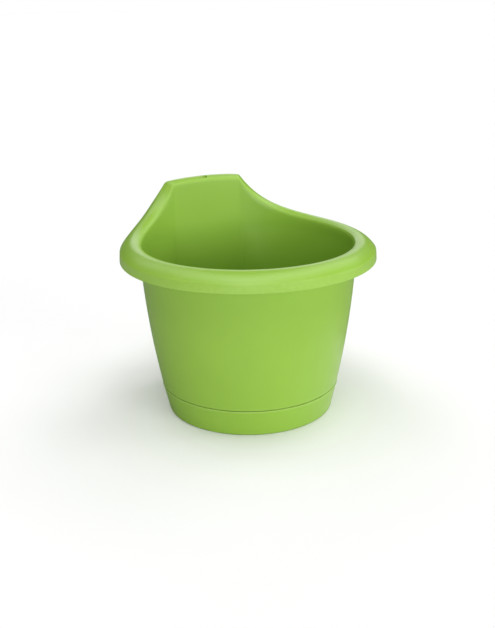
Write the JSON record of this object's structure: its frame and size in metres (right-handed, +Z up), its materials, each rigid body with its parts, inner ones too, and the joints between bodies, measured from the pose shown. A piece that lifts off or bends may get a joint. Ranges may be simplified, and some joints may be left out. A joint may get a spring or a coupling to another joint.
{
  "type": "wall-hung planter with saucer",
  "caption": "Round wall-hung flower pot with a raised flat back, a wide turned-down rim and a lift-off water saucer.",
  "frame": {"origin": "centre of the pot's round part, on the surface that the saucer stands on", "axes": "+Z up along the round part's axis, +Y towards the wall that the pot hangs on, +X to the right seen from the front"},
  "size_m": [0.241, 0.2249, 0.2093],
  "materials": {
    "green_plastic": "satin",
    "green_plastic_saucer": "satin"
  },
  "bodies": {
    "saucer": {"saucer": "green_plastic_saucer"},
    "pot": {"pot": "green_plastic"}
  },
  "joints": [
    {"name": "pot_lift", "type": "slide", "parent": "saucer", "child": "pot", "axis": [0, 0, 1], "range_m": [0, 0.08]}
  ]
}
